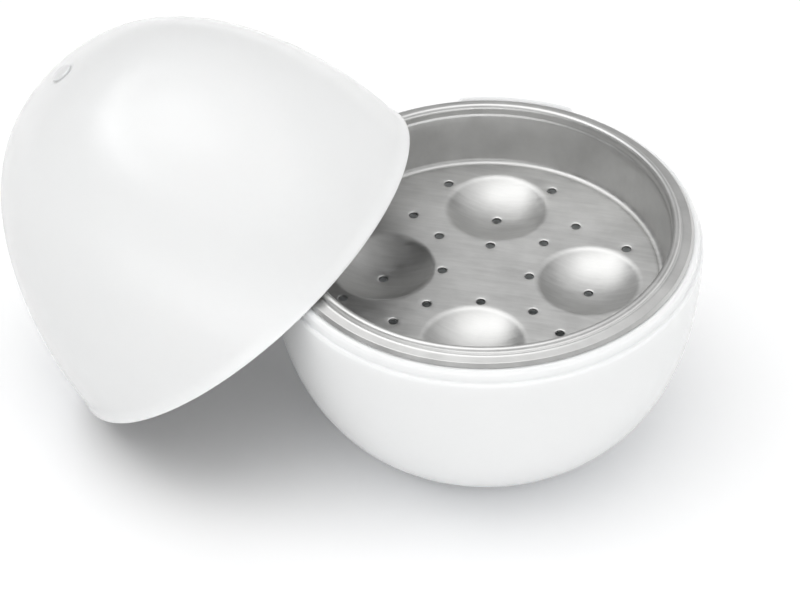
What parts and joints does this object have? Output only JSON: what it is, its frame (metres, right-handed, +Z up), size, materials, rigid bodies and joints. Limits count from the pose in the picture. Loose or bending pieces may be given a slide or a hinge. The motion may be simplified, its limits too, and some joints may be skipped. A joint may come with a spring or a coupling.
{
  "type": "microwave egg cooker",
  "caption": "Egg-shaped microwave cooker: bowl base for water, pressed metal egg pan with steam holes, and a metal-lined dome lid leaning off it.",
  "frame": {"origin": "centre of the base's foot ring, on the table", "axes": "+Z up along the axis of the base and the pan; the lid is off and leans towards -X, with its axis in the XZ plane"},
  "size_m": [0.2407, 0.147, 0.1345],
  "materials": {
    "white_plastic": "glossy white moulded polypropylene",
    "pan_metal": "satin pressed aluminium sheet",
    "liner_metal": "satin spun aluminium sheet",
    "plug_plastic": "fine matt white moulded plastic"
  },
  "bodies": {
    "base": {"base": "white_plastic"},
    "pan": {"pan": "pan_metal"},
    "lid": {"lid_shell": "white_plastic", "lid_liner": "liner_metal", "vent_plug": "plug_plastic", "plug_washer": "plug_plastic"}
  },
  "joints": [
    {"name": "lid_lift", "type": "slide", "parent": "base", "child": "lid", "axis": [-0.6468, 0, 0.7627], "range_m": [0, 0.15]},
    {"name": "pan_lift", "type": "slide", "parent": "base", "child": "pan", "axis": [0, 0, 1], "range_m": [0, 0.075]}
  ],
  "couplings": [
    {"joint": "pan_lift", "follows": "lid_lift", "ratio": 0.5}
  ]
}
